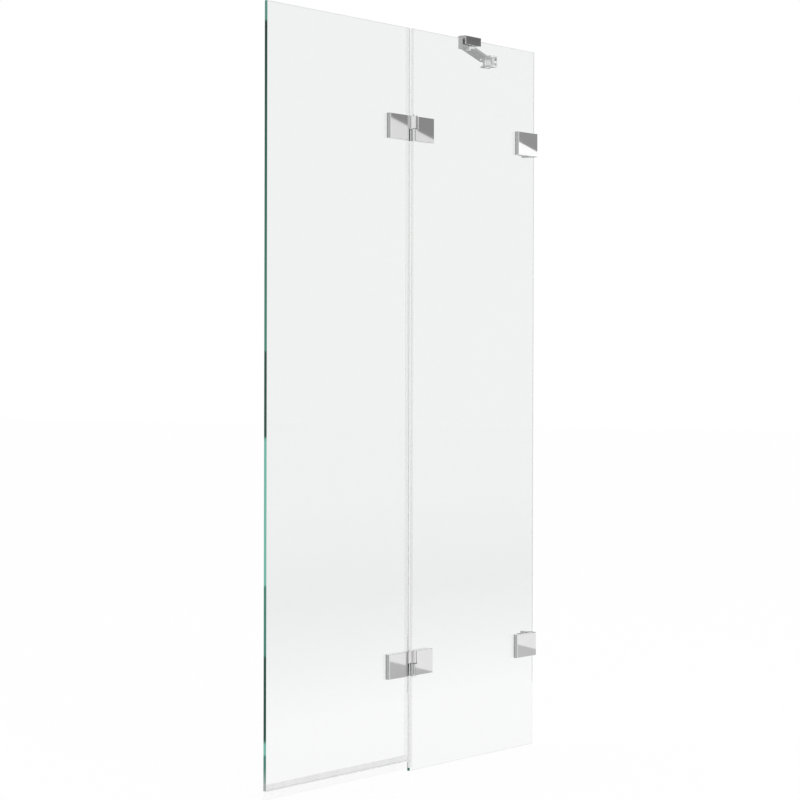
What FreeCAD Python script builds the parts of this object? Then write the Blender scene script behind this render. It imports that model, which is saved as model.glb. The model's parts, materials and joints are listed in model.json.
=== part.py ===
"""Two-part frameless shower screen: a fixed glass panel on two wall brackets, a moving glass panel
on two glass-to-glass hinges, clear seals, and a support strut from the fixed panel's top to the wall.

X runs along the glass with the wall at X = 0 and the free edge at the lowest X. Y is across the glass,
with the room side at negative Y and the middle of the glass at Y = 0. Z is up, from the middle of the
lower wall bracket. All sizes are in millimetres.
"""
import FreeCAD
import Part
import Sketcher
import math
import os

SIZES = {
    # Glass panels
    "glass_thickness": 6.0,
    "screen_height": 1500.0,
    "fixed_glass_width": 498.0,
    "moving_glass_width": 495.0,
    "moving_glass_lift": 22.0,
    "wall_gap": 5.0,
    "joint_gap": 7.0,
    "glass_arris": 0.6,
    "glass_hole": 14.0,
    # Middles of the lower fittings above the fixed panel's bottom edge, and of the upper ones below its top
    "lower_fitting_height": 218.0,
    "upper_fitting_drop": 202.0,
    # Cover plates and their fixings through the glass
    "gasket_thickness": 1.0,
    "plate_thickness": 8.0,
    "plate_height": 50.0,
    "plate_edge_radius": 0.6,
    "screw_spacing": 26.0,
    "screw_diameter": 6.0,
    "screw_head": 12.0,
    "screw_bite": 6.0,
    "screw_hole_end": 0.5,
    "screw_socket": 4.0,
    "screw_socket_depth": 2.0,
    "disc_diameter": 20.0,
    "disc_thickness": 3.5,
    "sleeve_flange": 1.0,
    "fit_gap": 0.2,
    # Hinges
    "pivot_inset": 5.0,
    "knuckle_width": 10.0,
    "moving_plate_gap": 32.0,
    "moving_plate_width": 63.0,
    "fixed_plate_gap": 8.0,
    "fixed_plate_width": 60.0,
    "tongue_thickness": 3.0,
    "notch_reach": 20.0,
    "pin_diameter": 5.0,
    "pin_head": 9.4,
    "pin_head_height": 3.0,
    "pin_end_play": 0.3,
    "bush_wall": 1.0,
    "bush_clearance": 0.03,
    "washer_diameter": 9.4,
    "washer_thickness": 1.0,
    # Wall brackets
    "bracket_plate_gap": 6.0,
    "bracket_plate_width": 80.0,
    "bracket_leg_length": 60.0,
    "bracket_leg_thickness": 5.0,
    "bracket_screw_inset": 45.0,
    "wall_flange_thickness": 4.0,
    "wall_flange_reach": 33.0,
    "wall_hole": 5.5,
    "wall_hole_sink": 9.5,
    "wall_hole_spacing": 28.0,
    "wall_hole_offset": 21.0,
    # Seals
    "seal_leg": 8.0,
    "seal_wall": 1.2,
    "seal_end_gap": 0.5,
    "seal_bottom_gap": 6.5,
    "seal_lip": 14.0,
    "seal_lip_thickness": 0.8,
    "drip_leg": 11.5,
    "drip_base": 2.0,
    "drip_fin": 16.0,
    "drip_fin_thickness": 1.0,
    "drip_fin_lean": 4.0,
    # Support strut
    "strut_offset": 268.0,
    "clamp_width": 59.0,
    "clamp_front_leg": 4.0,
    "clamp_rear_leg": 11.0,
    "clamp_bridge": 6.0,
    "clamp_front_depth": 11.0,
    "clamp_rear_depth": 20.0,
    "clamp_crown_radius": 8.0,
    "clamp_edge_radius": 0.8,
    "clamp_post_width": 24.0,
    "clamp_screw": 8.0,
    "clamp_screw_drop": 9.0,
    "liner_thickness": 1.0,
    "liner_depth": 10.0,
    "lug_thickness": 6.0,
    "arm_width": 28.0,
    "arm_thickness": 6.0,
    "arm_drop": 11.0,
    "arm_taper": 34.0,
    "arm_gap": 0.5,
    "arm_edge_radius": 0.8,
    "foot_offset": 114.0,
    "foot_width": 35.0,
    "foot_reach": 20.0,
    "foot_wall": 3.5,
    "foot_opening": 18.0,
    "foot_corner_radius": 6.0,
    "foot_hole": 4.5,
    "foot_hole_sink": 8.0,
    "foot_hole_spacing": 24.0,
    "eye_radius": 7.0,
    "pivot_diameter": 5.0,
    "pivot_head": 11.0,
    "pivot_head_height": 2.5,
    # Length by which a cutting tool runs past the face it starts from
    "overrun": 1.0,
}

PIECES = []


class Length:
    """A value in millimetres together with the sheet expression that gives it."""

    def __init__(self, text, value):
        self.text = text
        self.value = value

    def __add__(self, other):
        return Length(f"({self.text} + {other.text})", self.value + other.value)

    def __sub__(self, other):
        return Length(f"({self.text} - {other.text})", self.value - other.value)

    def __neg__(self):
        return Length(f"(-{self.text})", -self.value)

    def __mul__(self, share):
        return Length(f"({self.text} * {share!r})", self.value * share)

    def __truediv__(self, share):
        return Length(f"({self.text} / {share!r})", self.value / share)


class SizeSheet:
    """The driving dimensions, each an aliased cell of the sheet and an attribute here."""

    def __init__(self, document, sizes):
        sheet = document.addObject("Spreadsheet::Sheet", "Sizes")
        for row, (alias, value) in enumerate(sizes.items(), start=1):
            sheet.set(f"A{row}", alias.replace("_", " "))
            sheet.set(f"B{row}", str(value))
            sheet.setAlias(f"B{row}", alias)
            setattr(self, alias, Length(f"Sizes.{alias}", value))
        document.recompute()


doc = FreeCAD.newDocument("ShowerScreen")
size = SizeSheet(doc, SIZES)
ZERO = Length("0", 0.0)


def half(length):
    return length / 2


def bind(thing, prop, length):
    """Tie a property to the sheet."""
    thing.setExpression(prop, length.text)


def place(thing, x, y, z):
    """Tie an object's position to the sheet."""
    bind(thing, "Placement.Base.x", x)
    bind(thing, "Placement.Base.y", y)
    bind(thing, "Placement.Base.z", z)


def keep(thing, label):
    """Name an object as one of the finished pieces."""
    thing.Label = label
    PIECES.append(thing)
    return thing


# Sketches and features

def new_body(name, x=ZERO, y=ZERO, z=ZERO):
    body = doc.addObject("PartDesign::Body", name)
    place(body, x, y, z)
    return body


def new_sketch(body, role, offset=ZERO):
    """A sketch on one of the body's own origin planes, moved along that plane's normal."""
    plane = next(feature for feature in body.Origin.OriginFeatures if feature.Role == role)
    sketch = body.newObject("Sketcher::SketchObject", body.Name + "_sketch")
    sketch.AttachmentSupport = [(plane, "")]
    sketch.MapMode = "FlatFace"
    bind(sketch, "AttachmentOffset.Base.z", offset)
    return sketch


# Numbers that a sketch gives to the points of a line, arc or circle, and to its own level axis
START_INDEX = 1
END_INDEX = 2
CENTRE_INDEX = 3
AXIS_INDEX = -1

# Corners of the hexagon that a key fits
KEY_CORNER_COUNT = 6

# How near an edge has to lie to a level, as a share of the cutting tools' overrun
LEVEL_MATCH_SHARE = 1e-4

# The two sides of a middle line
BOTH_SIDES = (1, -1)


def dimension(sketch, kind, geometry, point, length):
    """Tie a point of a line, arc or circle to the sketch's origin, where the level axis starts."""
    constraint = Sketcher.Constraint(kind, AXIS_INDEX, START_INDEX, geometry, point, length.value)
    bind(sketch, f"Constraints[{sketch.addConstraint(constraint)}]", length)


def half_turn(start, end):
    """A half circle, turning left from start to end."""
    spoke = (start - end) / 2
    turn = math.atan2(spoke.y, spoke.x)
    whole = Part.Circle(end + spoke, FreeCAD.Vector(0, 0, 1), spoke.Length)
    return Part.ArcOfCircle(whole, turn, turn + math.pi)


def outline(sketch, corners, round_end=False):
    """A closed outline through the given corners, straight or with a round last side."""
    first = sketch.GeometryCount
    count = len(corners)
    points = [FreeCAD.Vector(x.value, y.value, 0) for x, y in corners]
    for index in range(count):
        side = half_turn if round_end and index == count - 1 else Part.LineSegment
        sketch.addGeometry(side(points[index], points[(index + 1) % count]))
    for index in range(count):
        following = first + (index + 1) % count
        meeting = "Tangent" if round_end and index == count - 2 else "Coincident"
        sketch.addConstraint(Sketcher.Constraint(meeting, first + index, END_INDEX, following, START_INDEX))
    for index, (x, y) in enumerate(corners):
        dimension(sketch, "DistanceX", first + index, START_INDEX, x)
        dimension(sketch, "DistanceY", first + index, START_INDEX, y)


def rectangle(sketch, low_x, high_x, low_y, high_y):
    outline(sketch, [(low_x, low_y), (high_x, low_y), (high_x, high_y), (low_x, high_y)])


def circle(sketch, x, y, radius):
    centre = FreeCAD.Vector(x.value, y.value, 0)
    geometry = sketch.addGeometry(Part.Circle(centre, FreeCAD.Vector(0, 0, 1), radius.value))
    dimension(sketch, "DistanceX", geometry, CENTRE_INDEX, x)
    dimension(sketch, "DistanceY", geometry, CENTRE_INDEX, y)
    index = sketch.addConstraint(Sketcher.Constraint("Radius", geometry, radius.value))
    bind(sketch, f"Constraints[{index}]", radius)


def hexagon(sketch, x, y, across_flats):
    """A hexagon for a key, with two corners on the sketch's level line."""
    radius = half(across_flats) / math.cos(math.pi / KEY_CORNER_COUNT)
    corners = []
    for number in range(KEY_CORNER_COUNT):
        turn = math.tau * number / KEY_CORNER_COUNT
        corners.append((x + radius * math.cos(turn), y + radius * math.sin(turn)))
    outline(sketch, corners)


def pad(sketch, length, midplane=False):
    body = sketch.getParentGeoFeatureGroup()
    feature = body.newObject("PartDesign::Pad", body.Name + "_pad")
    feature.Profile = sketch
    feature.Midplane = midplane
    bind(feature, "Length", length)
    doc.recompute()
    return feature


def pocket(sketch, length, reverse=False, midplane=False):
    """Cut a sketch into its body, and make sure that it takes something away."""
    body = sketch.getParentGeoFeatureGroup()
    before = body.Tip.Shape.Volume
    feature = body.newObject("PartDesign::Pocket", body.Name + "_pocket")
    feature.Profile = sketch
    feature.Midplane = midplane
    feature.Reversed = reverse
    bind(feature, "Length", length)
    doc.recompute()
    if feature.Shape.Volume >= before:
        raise RuntimeError(f"{feature.Name} cuts nothing")
    return feature


def round_edges(body, radius, chosen):
    """Round the edges that chosen(edge) picks out; their places count from the body's own origin."""
    base = body.Tip
    names = [f"Edge{number}" for number, edge in enumerate(base.Shape.Edges, start=1) if chosen(edge)]
    feature = body.newObject("PartDesign::Fillet", body.Name + "_fillet")
    feature.Base = (base, names)
    bind(feature, "Radius", radius)
    doc.recompute()
    return feature


def lies_at(edge, axis, *levels):
    """True for an edge whose whole length lies at one of the levels along an axis."""
    low = getattr(edge.BoundBox, axis + "Min")
    high = getattr(edge.BoundBox, axis + "Max")
    near = size.overrun.value * LEVEL_MATCH_SHARE
    return any(max(abs(low - level.value), abs(high - level.value)) < near for level in levels)


def turned(name, role, half_profile, x=ZERO, y=ZERO, z=ZERO):
    """A body turned about the upright axis of its sketch plane."""
    body = new_body(name, x, y, z)
    sketch = new_sketch(body, role)
    outline(sketch, half_profile)
    feature = body.newObject("PartDesign::Revolution", name + "_turn")
    feature.Profile = sketch
    feature.ReferenceAxis = (sketch, ["V_Axis"])
    doc.recompute()
    return body


def mirrored_pair(label, single, x, y, z):
    """Two of a piece made above the middle of a fitting, the second mirrored below it."""
    other = doc.addObject("Part::Mirroring", label + "_mirror")
    other.Source = single
    other.Normal = (0, 0, 1)
    pair = doc.addObject("Part::Compound", label)
    pair.Links = [single, other]
    place(pair, x, y, z)
    return keep(pair, label)


def hole_tool(name, radius, length, x, y, z, axis, angle):
    """A drill of the given radius whose length runs along the turned Z axis."""
    drill = doc.addObject("Part::Cylinder", name)
    drill.Placement.Rotation = FreeCAD.Rotation(axis, angle)
    bind(drill, "Radius", radius)
    bind(drill, "Height", length)
    place(drill, x, y, z)
    return drill


def sink_tool(name, mouth, throat, length, x, y, z, axis, angle):
    """A countersink that narrows from its mouth to its throat along the turned Z axis."""
    sink = doc.addObject("Part::Cone", name)
    sink.Placement.Rotation = FreeCAD.Rotation(axis, angle)
    bind(sink, "Radius1", mouth)
    bind(sink, "Radius2", throat)
    bind(sink, "Height", length)
    place(sink, x, y, z)
    return sink


def cut(label, base, tools):
    """The base with the tools taken away."""
    cutters = doc.addObject("Part::MultiFuse", label + "_cutters")
    cutters.Shapes = tools
    result = doc.addObject("Part::Cut", label)
    result.Base = base
    result.Tool = cutters
    return keep(result, label)


X_AXIS = FreeCAD.Vector(1, 0, 0)
Y_AXIS = FreeCAD.Vector(0, 1, 0)
QUARTER_TURN = 90

# Places that several pieces share

glass_half = half(size.glass_thickness)
glass_front = -glass_half
glass_bottom = -size.lower_fitting_height
glass_top = glass_bottom + size.screen_height
fixed_edge = -(size.wall_gap + size.fixed_glass_width)
moving_edge = fixed_edge - size.joint_gap
free_edge = moving_edge - size.moving_glass_width
moving_bottom = glass_bottom + size.moving_glass_lift
plate_back = glass_front - size.gasket_thickness
plate_half = half(size.plate_height)
knuckle_half = half(size.knuckle_width)
hinge_x = fixed_edge + size.pivot_inset
hinge_y = plate_back - knuckle_half
screw_rise = half(size.screw_spacing)
screw_radius = half(size.screw_diameter)
washer_half = half(size.washer_thickness)
moving_plate_end = size.moving_plate_gap + size.moving_plate_width
fixed_plate_end = size.fixed_plate_gap + size.fixed_plate_width
moving_screw_x = hinge_x - (size.moving_plate_gap + half(size.moving_plate_width))
fixed_screw_x = hinge_x + size.fixed_plate_gap + half(size.fixed_plate_width)
bracket_screw_x = -size.bracket_screw_inset
FITTING_HEIGHTS = {
    "upper": glass_top - size.upper_fitting_drop,
    "lower": ZERO,
}


# Glass

def glass_panel(label, low_x, high_x, low_z, high_z, hole_columns):
    """A polished panel with an arris all round and a pair of holes at each fitting of each column."""
    body = new_body(label)
    sketch = new_sketch(body, "XZ_Plane")
    rectangle(sketch, low_x, high_x, low_z, high_z)
    slab = pad(sketch, size.glass_thickness, midplane=True)
    faces = [f"Face{number}" for number, face in enumerate(slab.Shape.Faces, start=1)
             if math.isclose(abs(face.normalAt(0, 0).y), 1)]
    arris = body.newObject("PartDesign::Chamfer", label + "_arris")
    arris.Base = (slab, faces)
    bind(arris, "Size", size.glass_arris)
    doc.recompute()
    holes = new_sketch(body, "XZ_Plane")
    for column in hole_columns:
        for height in FITTING_HEIGHTS.values():
            for rise in (screw_rise, -screw_rise):
                circle(holes, column, height + rise, half(size.glass_hole))
    pocket(holes, size.glass_thickness + size.overrun, midplane=True)
    return keep(body, label)


# Cover plates and what holds them to the glass

def gasket(label, low_x, high_x, low_y, hole_x, height):
    """A flat gasket one thickness deep behind low_y, with a hole round each sleeve."""
    body = new_body(label, z=height)
    sketch = new_sketch(body, "XZ_Plane", -low_y)
    rectangle(sketch, low_x, high_x, -plate_half, plate_half)
    for rise in (screw_rise, -screw_rise):
        circle(sketch, hole_x, rise, half(size.glass_hole))
    feature = pad(sketch, size.gasket_thickness)
    feature.Reversed = True
    return keep(body, label)


def countersunk_screws(label, x, head_face, height):
    """Two countersunk screws from the rear, through the glass and into a cover plate's back."""
    tip = plate_back - size.screw_bite
    neck = head_face - (half(size.screw_head) - screw_radius)
    body = turned(label + "_single", "XY_Plane", [
        (ZERO, tip),
        (screw_radius, tip),
        (screw_radius, neck),
        (half(size.screw_head), head_face),
        (ZERO, head_face),
    ], z=screw_rise)
    socket = new_sketch(body, "XZ_Plane", -head_face)
    hexagon(socket, ZERO, ZERO, size.screw_socket)
    pocket(socket, size.screw_socket_depth, reverse=True)
    return mirrored_pair(label, body, x, ZERO, height)


def sleeves(label, x, flange, height):
    """Two plastic sleeves that keep the screws off the glass, with a flange behind it or plain."""
    bore = screw_radius + size.fit_gap
    outer = half(size.glass_hole) - size.fit_gap
    profile = [(bore, glass_front), (outer, glass_front), (outer, glass_half)]
    if flange:
        rear = glass_half + size.sleeve_flange
        rim = half(size.disc_diameter)
        profile += [(rim, glass_half), (rim, rear), (bore, rear)]
    else:
        profile += [(bore, glass_half)]
    body = turned(label + "_single", "XY_Plane", profile, z=screw_rise)
    return mirrored_pair(label, body, x, ZERO, height)


def discs(label, x, height):
    """Two round plates behind the glass, each countersunk for its screw."""
    front = glass_half + size.sleeve_flange
    rear = front + size.disc_thickness
    bore = screw_radius + size.fit_gap
    mouth = half(size.screw_head) + size.fit_gap
    body = turned(label + "_single", "XY_Plane", [
        (bore, front),
        (half(size.disc_diameter), front),
        (half(size.disc_diameter), rear),
        (mouth, rear),
        (bore, rear - (mouth - bore)),
    ], z=screw_rise)
    return mirrored_pair(label, body, x, ZERO, height)


def blind_screw_holes(body, x):
    """Holes in the back of a cover plate for its two screws; the body's origin is at plate_back."""
    holes = new_sketch(body, "XZ_Plane")
    for rise in (screw_rise, -screw_rise):
        circle(holes, x, rise, screw_radius + size.fit_gap)
    pocket(holes, size.screw_bite + size.screw_hole_end, reverse=True)


# Hinges

def moving_leaf(label, height):
    """The leaf on the moving panel: cover plate, thin tongue with a notch, and the upper knuckle."""
    body = new_body(label, hinge_x, plate_back, height)
    plate = new_sketch(body, "XZ_Plane")
    rectangle(plate, -moving_plate_end, -size.moving_plate_gap, -plate_half, plate_half)
    pad(plate, size.plate_thickness)
    tongue = new_sketch(body, "XZ_Plane")
    outline(tongue, [
        (-size.moving_plate_gap, -plate_half),
        (-size.notch_reach, -plate_half),
        (-size.notch_reach, washer_half),
        (-knuckle_half, washer_half),
        (-knuckle_half, plate_half),
        (-size.moving_plate_gap, plate_half),
    ])
    pad(tongue, size.tongue_thickness)
    knuckle = new_sketch(body, "XY_Plane", washer_half)
    outline(knuckle, [
        (ZERO, ZERO),
        (-knuckle_half, ZERO),
        (-knuckle_half, -size.knuckle_width),
        (ZERO, -size.knuckle_width),
    ], round_end=True)
    pad(knuckle, plate_half - washer_half)
    bore = new_sketch(body, "XY_Plane", plate_half)
    circle(bore, ZERO, -knuckle_half, half(size.pin_diameter) + size.bush_clearance + size.bush_wall)
    pocket(bore, plate_half - washer_half)
    blind_screw_holes(body, -(size.moving_plate_gap + half(size.moving_plate_width)))
    round_edges(body, size.plate_edge_radius, lambda edge: lies_at(edge, "Y", -size.plate_thickness))
    return keep(body, label)


def fixed_leaf(label, height):
    """The leaf on the fixed panel: cover plate and the lower knuckle, joined by a short web."""
    body = new_body(label, hinge_x, plate_back, height)
    plate = new_sketch(body, "XZ_Plane")
    outline(plate, [
        (knuckle_half, -plate_half),
        (fixed_plate_end, -plate_half),
        (fixed_plate_end, plate_half),
        (size.fixed_plate_gap, plate_half),
        (size.fixed_plate_gap, -washer_half),
        (knuckle_half, -washer_half),
    ])
    pad(plate, size.plate_thickness)
    knuckle = new_sketch(body, "XY_Plane", -plate_half)
    rectangle(knuckle, -knuckle_half, knuckle_half, -size.knuckle_width, ZERO)
    pad(knuckle, plate_half - washer_half)
    bore = new_sketch(body, "XY_Plane", -washer_half)
    circle(bore, ZERO, -knuckle_half, half(size.pin_diameter))
    pocket(bore, plate_half - washer_half)
    blind_screw_holes(body, size.fixed_plate_gap + half(size.fixed_plate_width))
    round_edges(body, size.plate_edge_radius,
                lambda edge: lies_at(edge, "Y", -size.plate_thickness, -size.knuckle_width))
    return keep(body, label)


def hinge_pin(label, height, head_up):
    """The pin through both knuckles, with its head above the upper one or under the lower one."""
    radius = half(size.pin_diameter)
    head_radius = half(size.pin_head)
    if head_up:
        seat = plate_half + size.pin_end_play
        profile = [
            (ZERO, -plate_half),
            (radius, -plate_half),
            (radius, seat),
            (head_radius, seat),
            (head_radius, seat + size.pin_head_height),
            (ZERO, seat + size.pin_head_height),
        ]
    else:
        end = -(plate_half + size.pin_head_height)
        profile = [
            (ZERO, end),
            (head_radius, end),
            (head_radius, -plate_half),
            (radius, -plate_half),
            (radius, plate_half),
            (ZERO, plate_half),
        ]
    return keep(turned(label, "XZ_Plane", profile, hinge_x, hinge_y, height), label)


def ring(label, bore, outer, low, high, height):
    """A plain ring round the hinge pin."""
    profile = [(bore, low), (outer, low), (outer, high), (bore, high)]
    return keep(turned(label, "XZ_Plane", profile, hinge_x, hinge_y, height), label)


def edge_guard(body):
    """The run of a fixed leaf's gasket under the lower knuckle and round the edge of the glass."""
    guard_face = fixed_edge - size.gasket_thickness
    plate_start = hinge_x + size.fixed_plate_gap
    section = new_sketch(body, "XY_Plane", -plate_half)
    outline(section, [
        (guard_face, plate_back),
        (plate_start, plate_back),
        (plate_start, glass_front),
        (fixed_edge, glass_front),
        (fixed_edge, glass_half),
        (guard_face, glass_half),
    ])
    pad(section, plate_half - washer_half)


def hinge(name, height):
    pin_radius = half(size.pin_diameter)
    bush_bore = pin_radius + size.bush_clearance
    moving_leaf(f"{name}_hinge_moving_leaf", height)
    fixed_leaf(f"{name}_hinge_fixed_leaf", height)
    hinge_pin(f"{name}_hinge_pin", height, head_up=name == "upper")
    ring(f"{name}_hinge_bush", bush_bore, bush_bore + size.bush_wall, washer_half, plate_half, height)
    ring(f"{name}_hinge_washer", pin_radius + size.fit_gap, half(size.washer_diameter),
         -washer_half, washer_half, height)
    gasket(f"{name}_hinge_moving_gasket", hinge_x - moving_plate_end, hinge_x - size.notch_reach,
           plate_back, moving_screw_x, height)
    edge_guard(gasket(f"{name}_hinge_fixed_gasket", hinge_x + size.fixed_plate_gap,
                      hinge_x + fixed_plate_end, plate_back, fixed_screw_x, height))
    head_face = glass_half + size.sleeve_flange + size.disc_thickness
    for leaf, x in (("moving", moving_screw_x), ("fixed", fixed_screw_x)):
        sleeves(f"{name}_hinge_{leaf}_sleeves", x, True, height)
        discs(f"{name}_hinge_{leaf}_discs", x, height)
        countersunk_screws(f"{name}_hinge_{leaf}_screws", x, head_face, height)


# Wall brackets

def bracket_plate(label, height):
    """The cover plate in front of the glass beside the wall."""
    body = new_body(label, ZERO, plate_back, height)
    plate = new_sketch(body, "XZ_Plane")
    plate_end = size.bracket_plate_gap + size.bracket_plate_width
    rectangle(plate, -plate_end, -size.bracket_plate_gap, -plate_half, plate_half)
    pad(plate, size.plate_thickness)
    blind_screw_holes(body, bracket_screw_x)
    round_edges(body, size.plate_edge_radius, lambda edge: lies_at(edge, "Y", -size.plate_thickness))
    return keep(body, label)


def bracket_angle(label, height):
    """The angle behind the glass: one leg clamps the panel, and the flange is screwed to the wall."""
    leg_front = glass_half + size.gasket_thickness
    leg_rear = leg_front + size.bracket_leg_thickness
    body = new_body(label + "_blank", z=height)
    section = new_sketch(body, "XY_Plane")
    outline(section, [
        (ZERO, glass_front),
        (ZERO, size.wall_flange_reach),
        (-size.wall_flange_thickness, size.wall_flange_reach),
        (-size.wall_flange_thickness, leg_rear),
        (-size.bracket_leg_length, leg_rear),
        (-size.bracket_leg_length, leg_front),
        (-size.wall_flange_thickness, leg_front),
        (-size.wall_flange_thickness, glass_front),
    ])
    pad(section, size.plate_height, midplane=True)
    round_edges(body, size.plate_edge_radius, lambda edge: lies_at(edge, "X", -size.bracket_leg_length)
                or lies_at(edge, "Y", size.wall_flange_reach))
    tools = []
    clear_radius = screw_radius + size.fit_gap
    screw_mouth = half(size.screw_head) + size.fit_gap
    wall_radius = half(size.wall_hole)
    wall_mouth = half(size.wall_hole_sink)
    for number, side in enumerate(BOTH_SIDES, start=1):
        z = height + screw_rise * side
        tools.append(hole_tool(f"{label}_screw_drill_{number}", clear_radius,
                               size.bracket_leg_thickness + size.overrun,
                               bracket_screw_x, leg_rear, z, X_AXIS, QUARTER_TURN))
        tools.append(sink_tool(f"{label}_screw_sink_{number}", screw_mouth, clear_radius,
                               screw_mouth - clear_radius,
                               bracket_screw_x, leg_rear, z, X_AXIS, QUARTER_TURN))
        z = height + half(size.wall_hole_spacing) * side
        face = -size.wall_flange_thickness
        tools.append(hole_tool(f"{label}_wall_drill_{number}", wall_radius,
                               size.wall_flange_thickness + size.overrun,
                               face, size.wall_hole_offset, z, Y_AXIS, QUARTER_TURN))
        tools.append(sink_tool(f"{label}_wall_sink_{number}", wall_mouth, wall_radius,
                               wall_mouth - wall_radius,
                               face, size.wall_hole_offset, z, Y_AXIS, QUARTER_TURN))
    return cut(label, body, tools)


def wall_bracket(name, height):
    plate_end = size.bracket_plate_gap + size.bracket_plate_width
    bracket_plate(f"{name}_bracket_plate", height)
    bracket_angle(f"{name}_bracket_angle", height)
    gasket(f"{name}_bracket_front_gasket", -plate_end, -size.bracket_plate_gap, plate_back,
           bracket_screw_x, height)
    gasket(f"{name}_bracket_rear_gasket", -size.bracket_leg_length, -size.wall_gap, glass_half,
           bracket_screw_x, height)
    sleeves(f"{name}_bracket_sleeves", bracket_screw_x, False, height)
    head_face = glass_half + size.gasket_thickness + size.bracket_leg_thickness
    countersunk_screws(f"{name}_bracket_screws", bracket_screw_x, head_face, height)


# Seals

def joint_seal(label, low_z, lip_low_z, high_z):
    """One length of the clear seal on the fixed panel's hinge edge, with a lip behind the moving panel."""
    outer = glass_half + size.seal_wall
    web = fixed_edge - size.seal_wall
    leg_end = fixed_edge + size.seal_leg
    body = new_body(label)
    channel = new_sketch(body, "XY_Plane", low_z)
    outline(channel, [
        (web, -outer),
        (leg_end, -outer),
        (leg_end, glass_front),
        (fixed_edge, glass_front),
        (fixed_edge, glass_half),
        (leg_end, glass_half),
        (leg_end, outer),
        (web, outer),
    ])
    pad(channel, high_z - low_z)
    lip = new_sketch(body, "XY_Plane", lip_low_z)
    rectangle(lip, web - size.seal_lip, web, outer - size.seal_lip_thickness, outer)
    pad(lip, high_z - lip_low_z)
    return keep(body, label)


def drip_seal(label):
    """The clear seal under the moving panel: a channel on the glass and a fin that leans inwards."""
    outer = glass_half + size.seal_wall
    fin_half = half(size.drip_fin_thickness)
    channel_top = moving_bottom + size.drip_leg
    base = moving_bottom - size.drip_base
    tip = base - size.drip_fin
    body = new_body(label)
    section = new_sketch(body, "YZ_Plane", free_edge)
    outline(section, [
        (-outer, channel_top),
        (glass_front, channel_top),
        (glass_front, moving_bottom),
        (glass_half, moving_bottom),
        (glass_half, channel_top),
        (outer, channel_top),
        (outer, base),
        (fin_half, base),
        (fin_half + size.drip_fin_lean, tip),
        (size.drip_fin_lean - fin_half, tip),
        (-fin_half, base),
        (-outer, base),
    ])
    pad(section, size.moving_glass_width)
    return keep(body, label)


def seals():
    drip_seal("drip_seal")
    clear = plate_half + size.seal_end_gap
    over_lower = FITTING_HEIGHTS["lower"] + clear
    over_upper = FITTING_HEIGHTS["upper"] + clear
    under_lower = FITTING_HEIGHTS["lower"] - clear
    under_upper = FITTING_HEIGHTS["upper"] - clear
    over_drip_seal = moving_bottom + size.drip_leg + size.seal_end_gap
    joint_seal("joint_seal_bottom", glass_bottom + size.seal_bottom_gap, over_drip_seal, under_lower)
    joint_seal("joint_seal_middle", over_lower, over_lower, under_upper)
    joint_seal("joint_seal_top", over_upper, over_upper, glass_top)


# Support strut

clamp_left = -(size.strut_offset + half(size.clamp_width))
clamp_right = clamp_left + size.clamp_width
arm_half = half(size.arm_width)
arm_top = glass_top - size.arm_drop
arm_bottom = arm_top - size.arm_thickness
lug_bottom = arm_top + size.arm_gap
pivot_x = clamp_right - arm_half
pivot_y = glass_half + size.liner_thickness + arm_half
eye_x = -(size.foot_wall + size.arm_gap + size.eye_radius)
pivot_radius = half(size.pivot_diameter)


def strut_clamp(label):
    """The saddle over the glass top: front leg, bridge, rear post, and the lug that carries the arm."""
    inner = glass_half + size.liner_thickness
    front = -(inner + size.clamp_front_leg)
    rear = inner + size.clamp_rear_leg
    crown = glass_top + size.liner_thickness + size.clamp_bridge
    body = new_body(label)
    section = new_sketch(body, "YZ_Plane", clamp_left)
    outline(section, [
        (front, glass_top - size.clamp_front_depth),
        (-inner, glass_top - size.clamp_front_depth),
        (-inner, glass_top + size.liner_thickness),
        (inner, glass_top + size.liner_thickness),
        (inner, glass_top - size.clamp_rear_depth),
        (rear, glass_top - size.clamp_rear_depth),
        (rear, crown),
        (front, crown),
    ])
    pad(section, size.clamp_width)
    notch = new_sketch(body, "XZ_Plane", -(rear + size.overrun))
    rectangle(notch, clamp_left + size.clamp_post_width, clamp_right + size.overrun,
              glass_top - size.clamp_rear_depth - size.overrun, lug_bottom)
    pocket(notch, size.clamp_rear_leg + size.overrun, reverse=True)
    round_edges(body, size.clamp_crown_radius,
                lambda edge: lies_at(edge, "Y", rear) and lies_at(edge, "Z", crown))
    round_edges(body, size.clamp_edge_radius,
                lambda edge: lies_at(edge, "Y", front) and lies_at(edge, "Z", crown))
    lug = new_sketch(body, "XY_Plane", lug_bottom)
    outline(lug, [
        (pivot_x - arm_half, pivot_y),
        (pivot_x - arm_half, inner),
        (clamp_right, inner),
        (clamp_right, pivot_y),
    ], round_end=True)
    pad(lug, size.lug_thickness)
    hole = new_sketch(body, "XY_Plane", lug_bottom)
    circle(hole, pivot_x, pivot_y, pivot_radius + size.fit_gap)
    pocket(hole, size.lug_thickness, reverse=True)
    thread = new_sketch(body, "XZ_Plane", -(rear + size.overrun))
    circle(thread, clamp_left + half(size.clamp_post_width), glass_top - size.clamp_screw_drop,
           half(size.clamp_screw) + size.fit_gap)
    pocket(thread, size.clamp_rear_leg + size.overrun, reverse=True)
    return keep(body, label)


def strut_clamp_liner(label):
    """The soft liner between the saddle and the glass."""
    inner = glass_half + size.liner_thickness
    bottom = glass_top - size.liner_depth
    body = new_body(label)
    section = new_sketch(body, "YZ_Plane", clamp_left)
    outline(section, [
        (-inner, bottom),
        (glass_front, bottom),
        (glass_front, glass_top),
        (glass_half, glass_top),
        (glass_half, bottom),
        (inner, bottom),
        (inner, glass_top + size.liner_thickness),
        (-inner, glass_top + size.liner_thickness),
    ])
    pad(section, size.clamp_width)
    return keep(body, label)


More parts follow.
